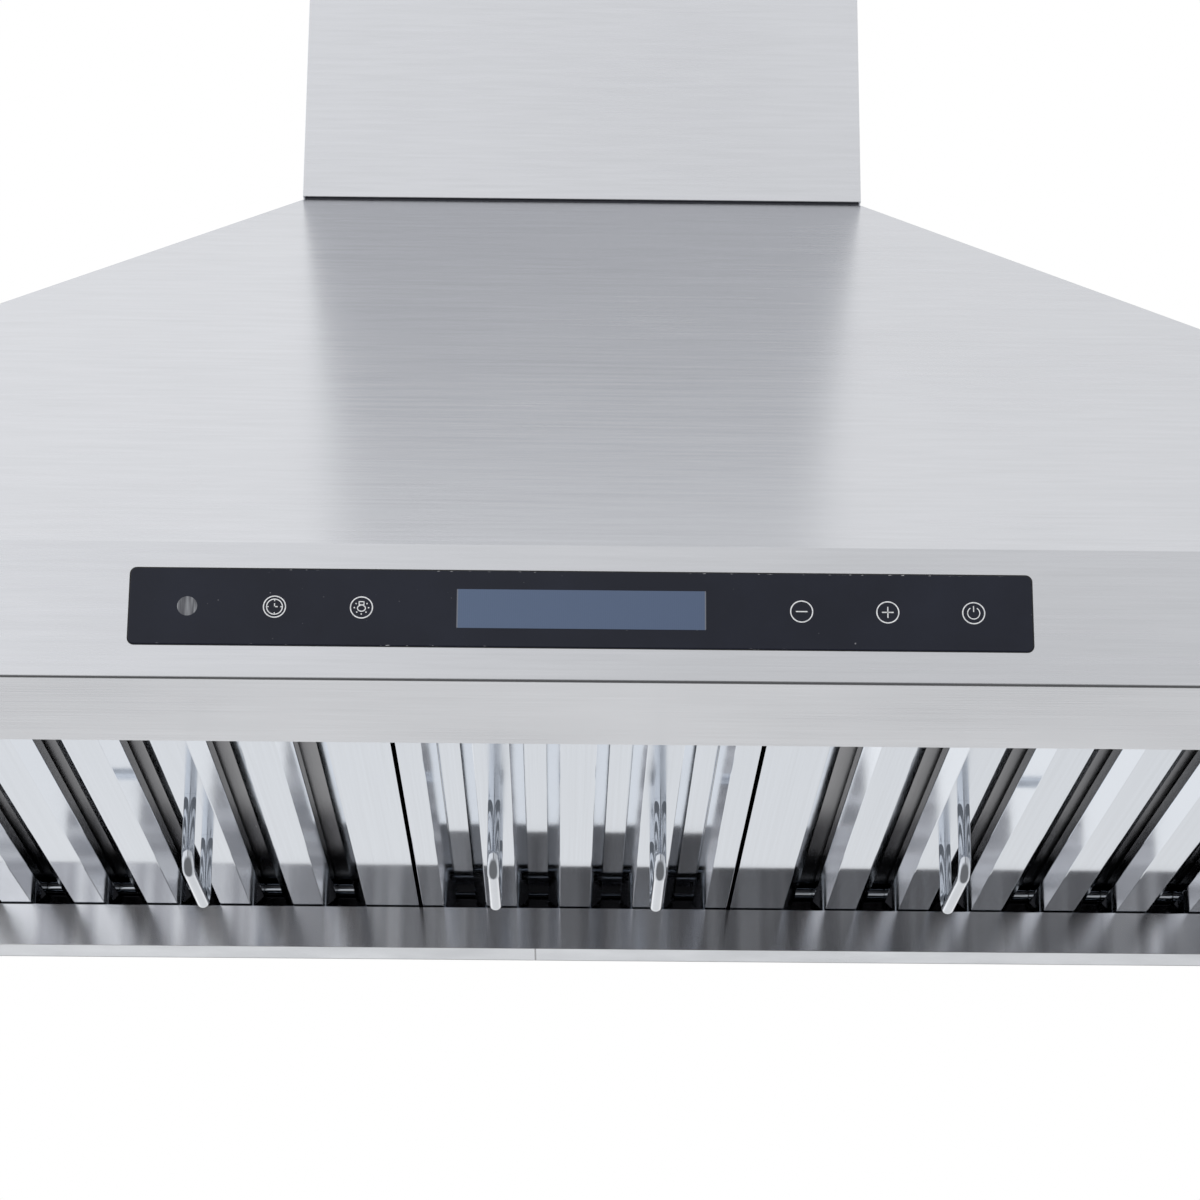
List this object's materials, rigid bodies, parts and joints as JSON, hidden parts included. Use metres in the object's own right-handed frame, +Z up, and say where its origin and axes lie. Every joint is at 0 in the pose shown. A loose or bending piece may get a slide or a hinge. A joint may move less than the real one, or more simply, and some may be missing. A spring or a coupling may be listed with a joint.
{
  "type": "wall-mount chimney range hood",
  "caption": "Wall-mounted stainless chimney range hood: pyramid canopy, black touch control strip, lift-out baffle filters with wire handles, telescoping chimney cover.",
  "frame": {"origin": "centre of the four wall-screw holes, on the wall plane, 150 mm above the underside of the rim", "axes": "+X to the right seen from the room, +Y into the wall, +Z up"},
  "size_m": [0.9, 0.5004, 0.7907],
  "materials": {
    "brushed_stainless": "brushed stainless steel, fine horizontal grain",
    "polished_stainless": "mirror-polished stainless steel",
    "galvanised_sheet": "galvanised steel sheet, dull",
    "black_glass": "opaque black back-printed glass",
    "display": "slate-blue display behind glass",
    "sensor_window": "smoked infrared window",
    "circuit_board": "green solder mask",
    "black_plastic": "black moulded plastic",
    "grey_plastic": "grey moulded plastic",
    "lamp_lens": "frosted diffuser",
    "lamp_aluminium": "die-cast aluminium",
    "motor_paint": "black enamel",
    "windings": "laminated core with copper windings",
    "bearing_steel": "ground bearing steel",
    "rotor_steel": "laminated steel rotor",
    "screw_steel": "zinc-plated steel",
    "rubber": "soft black rubber",
    "cable": "grey cable sheath",
    "capacitor_case": "white plastic can",
    "flap_aluminium": "bare aluminium sheet"
  },
  "bodies": {
    "hood": {"canopy_shell": "brushed_stainless", "rim_flange": "brushed_stainless", "chimney_lower_cover": "brushed_stainless", "grease_trough": "polished_stainless", "front_ledge": "galvanised_sheet", "back_panel": "galvanised_sheet", "top_plate": "galvanised_sheet", "blower_scroll": "galvanised_sheet", "blower_side_left": "galvanised_sheet", "blower_side_right": "galvanised_sheet", "power_box": "galvanised_sheet", "power_box_lid": "galvanised_sheet", "motor_bracket": "galvanised_sheet", "outlet_collar": "galvanised_sheet", "control_glass": "black_glass", "lcd_display": "display", "remote_sensor": "sensor_window", "control_board": "circuit_board", "power_board": "circuit_board", "control_housing": "black_plastic", "inlet_rings": "black_plastic", "cable_gland": "black_plastic", "terminal_block": "grey_plastic", "lamp_bezel_left": "polished_stainless", "lamp_bezel_right": "polished_stainless", "lamp_lens_left": "lamp_lens", "lamp_lens_right": "lamp_lens", "lamp_body_left": "lamp_aluminium", "lamp_body_right": "lamp_aluminium", "motor_casing": "motor_paint", "motor_stator": "windings", "motor_bearings": "bearing_steel", "damper_rod": "bearing_steel", "blower_screws": "screw_steel", "cover_screws": "screw_steel", "motor_grommets": "rubber", "collar_gasket": "rubber", "internal_wiring": "cable", "motor_capacitor": "capacitor_case"},
    "upper_chimney": {"chimney_upper_cover": "brushed_stainless", "chimney_top_bracket": "galvanised_sheet", "bracket_screws": "screw_steel"},
    "blower_rotor": {"motor_rotor": "rotor_steel", "motor_shaft": "bearing_steel", "impeller": "galvanised_sheet", "impeller_nut": "screw_steel"},
    "damper_front": {"damper_flap_front": "flap_aluminium"},
    "damper_rear": {"damper_flap_rear": "flap_aluminium"},
    "filter_left": {"filter_left_frame": "polished_stainless", "filter_left_lower_baffles": "polished_stainless", "filter_left_upper_baffles": "polished_stainless", "filter_left_handles": "polished_stainless"},
    "filter_centre": {"filter_centre_frame": "polished_stainless", "filter_centre_lower_baffles": "polished_stainless", "filter_centre_upper_baffles": "polished_stainless", "filter_centre_handles": "polished_stainless"},
    "filter_right": {"filter_right_frame": "polished_stainless", "filter_right_lower_baffles": "polished_stainless", "filter_right_upper_baffles": "polished_stainless", "filter_right_handles": "polished_stainless"}
  },
  "joints": [
    {"name": "chimney_slide", "type": "slide", "parent": "hood", "child": "upper_chimney", "axis": [0, 0, 1], "range_m": [0, 0.36]},
    {"name": "blower_spin", "type": "hinge", "parent": "hood", "child": "blower_rotor", "pos_m": [0, -0.181, 0.036], "axis": [1, 0, 0], "continuous": true},
    {"name": "damper_front_open", "type": "hinge", "parent": "hood", "child": "damper_front", "pos_m": [0, -0.115, 0.1742], "axis": [-1, 0, 0], "range_deg": [0, 75]},
    {"name": "damper_rear_open", "type": "hinge", "parent": "hood", "child": "damper_rear", "pos_m": [0, -0.115, 0.1742], "axis": [1, 0, 0], "range_deg": [0, 75]},
    {"name": "filter_left_lift", "type": "hinge", "parent": "hood", "child": "filter_left", "pos_m": [0, -0.013, -0.1294], "axis": [-1, 0, 0], "range_deg": [0, 3.2]},
    {"name": "filter_centre_lift", "type": "hinge", "parent": "hood", "child": "filter_centre", "pos_m": [0, -0.013, -0.1294], "axis": [-1, 0, 0], "range_deg": [0, 8]},
    {"name": "filter_right_lift", "type": "hinge", "parent": "hood", "child": "filter_right", "pos_m": [0, -0.013, -0.1294], "axis": [-1, 0, 0], "range_deg": [0, 3.2]}
  ]
}
